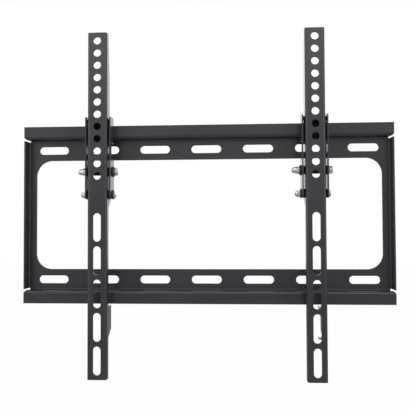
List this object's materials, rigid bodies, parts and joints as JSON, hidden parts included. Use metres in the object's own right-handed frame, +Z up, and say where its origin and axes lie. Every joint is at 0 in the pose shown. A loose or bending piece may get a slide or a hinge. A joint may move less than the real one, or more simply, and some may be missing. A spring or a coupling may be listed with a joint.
{
  "type": "tv wall mount",
  "caption": "Pressed wall plate with hooked rails, and slotted upright arms that hang on it by sliding brackets with pivot bolts and safety latches.",
  "frame": {"origin": "centre of the wall plate's back face, where it meets the wall", "axes": "+X to the right along the rails as seen from the room, +Y into the wall, +Z up"},
  "size_m": [0.46, 0.0365, 0.42],
  "materials": {
    "black_coat": "semi-gloss powder coat",
    "bright_zinc": "bright zinc plate",
    "black_washer": "matt black"
  },
  "bodies": {
    "wall": {"wall_plate": "black_coat"},
    "left_bracket_body": {"left_hook_bracket": "black_coat", "left_pivot_bolt": "bright_zinc", "left_pivot_nut": "bright_zinc", "left_pivot_disc_head": "black_washer", "left_pivot_disc_nut": "black_washer", "left_pivot_spacer_head": "black_washer", "left_pivot_spacer_nut": "black_washer"},
    "left_arm_body": {"left_arm": "black_coat", "left_pivot_sleeve": "black_washer", "left_lock_bolt": "bright_zinc", "left_lock_nut": "bright_zinc", "left_lock_washer_head": "black_washer", "left_lock_washer_nut": "black_washer", "left_lock_spacer_head": "black_washer", "left_lock_spacer_nut": "black_washer", "left_latch_rivet_upper": "black_coat", "left_latch_rivet_lower": "black_coat"},
    "left_latch_body": {"left_safety_latch": "black_coat"},
    "right_bracket_body": {"right_hook_bracket": "black_coat", "right_pivot_bolt": "bright_zinc", "right_pivot_nut": "bright_zinc", "right_pivot_disc_head": "black_washer", "right_pivot_disc_nut": "black_washer", "right_pivot_spacer_head": "black_washer", "right_pivot_spacer_nut": "black_washer"},
    "right_arm_body": {"right_arm": "black_coat", "right_pivot_sleeve": "black_washer", "right_lock_bolt": "bright_zinc", "right_lock_nut": "bright_zinc", "right_lock_washer_head": "black_washer", "right_lock_washer_nut": "black_washer", "right_lock_spacer_head": "black_washer", "right_lock_spacer_nut": "black_washer", "right_latch_rivet_upper": "black_coat", "right_latch_rivet_lower": "black_coat"},
    "right_latch_body": {"right_safety_latch": "black_coat"}
  },
  "joints": [
    {"name": "left_bracket_slide", "type": "slide", "parent": "wall", "child": "left_bracket_body", "axis": [1, 0, 0], "range_m": [-0.08, 0.095]},
    {"name": "left_arm_tilt", "type": "hinge", "parent": "left_bracket_body", "child": "left_arm_body", "pos_m": [-0.1306, -0.0215, 0.0525], "axis": [1, 0, 0], "range_deg": [-4, 1]},
    {"name": "left_latch_slide", "type": "slide", "parent": "left_arm_body", "child": "left_latch_body", "axis": [0, 0, 1], "range_m": [-0.008, 0]},
    {"name": "right_bracket_slide", "type": "slide", "parent": "wall", "child": "right_bracket_body", "axis": [1, 0, 0], "range_m": [-0.095, 0.078]},
    {"name": "right_arm_tilt", "type": "hinge", "parent": "right_bracket_body", "child": "right_arm_body", "pos_m": [0.1318, -0.0215, 0.0525], "axis": [1, 0, 0], "range_deg": [-4, 1]},
    {"name": "right_latch_slide", "type": "slide", "parent": "right_arm_body", "child": "right_latch_body", "axis": [0, 0, 1], "range_m": [-0.008, 0]}
  ]
}
